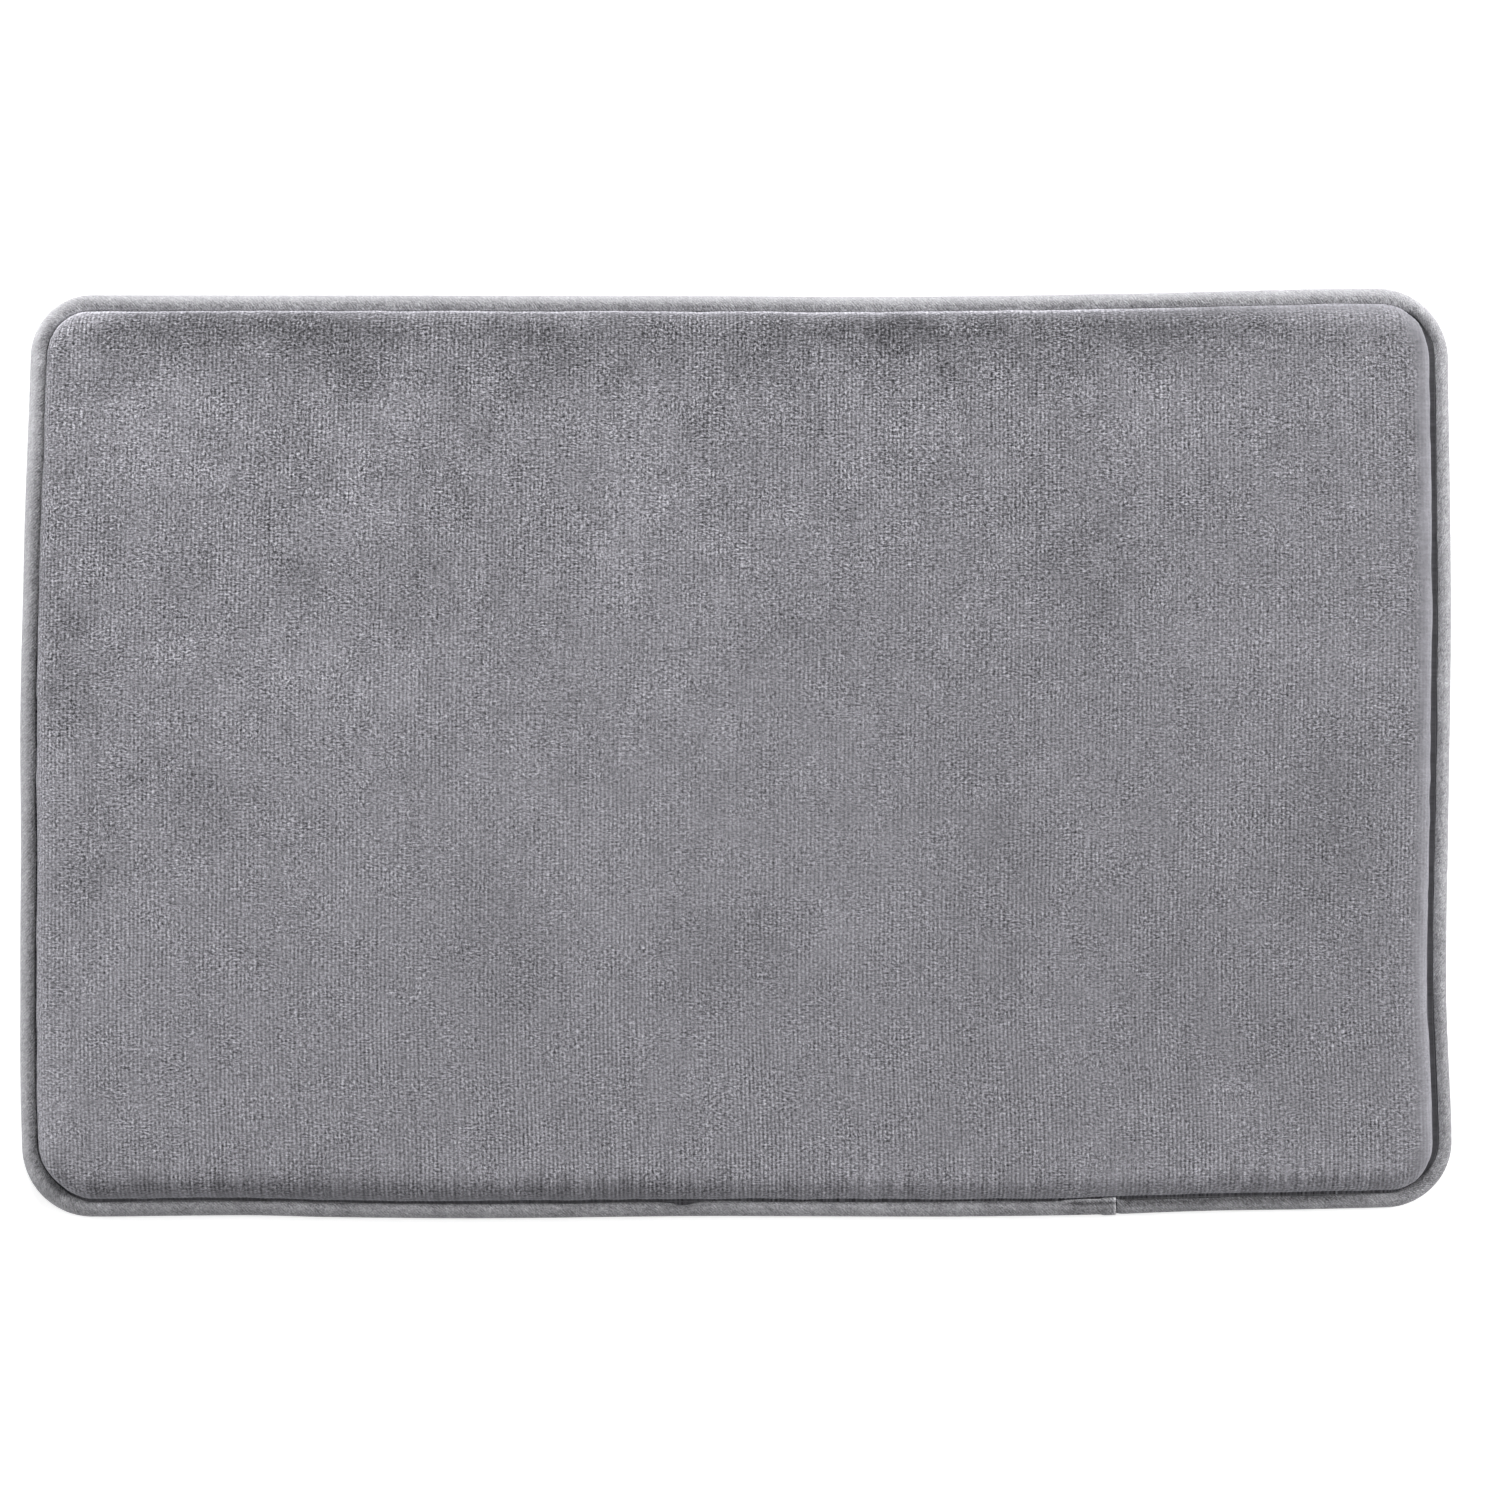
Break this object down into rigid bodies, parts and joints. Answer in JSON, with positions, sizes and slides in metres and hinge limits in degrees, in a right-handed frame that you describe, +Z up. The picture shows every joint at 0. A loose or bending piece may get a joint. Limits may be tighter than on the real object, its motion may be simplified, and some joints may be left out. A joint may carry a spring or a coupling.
{
  "type": "bath mat",
  "caption": "Rectangular padded bath mat with rounded corners: ribbed pile cover over soft foam, plain base cloth with a non-slip layer, and a rolled bias-cut binding sewn round the rim.",
  "frame": {"origin": "centre of the underside, where the mat rests on the floor", "axes": "+X along the long side, +Y along the short side towards the back edge, +Z up through the pile"},
  "size_m": [0.8, 0.514, 0.018],
  "materials": {
    "pile_fabric": "short dense velvet pile on a ribbed warp knit, cool grey, matt with a soft sheen at glancing angles",
    "foam": null,
    "base_cloth": "plain woven polyester, grey, matt",
    "grip_pvc": "soft moulded non-slip dots, pale grey, slightly glossy",
    "binding_tape": "bias-cut brushed knit tape, light grey, matt with a soft sheen",
    "thread": "spun polyester sewing thread, grey",
    "label_satin": "blank woven satin tag, off-white, no print"
  },
  "bodies": {
    "root": {"top_cover": "pile_fabric", "foam_core": "foam", "base_fabric": "base_cloth", "grip_dots": "grip_pvc", "edge_binding": "binding_tape", "needle_thread": "thread", "bobbin_thread": "thread", "care_label": "label_satin"}
  },
  "joints": []
}
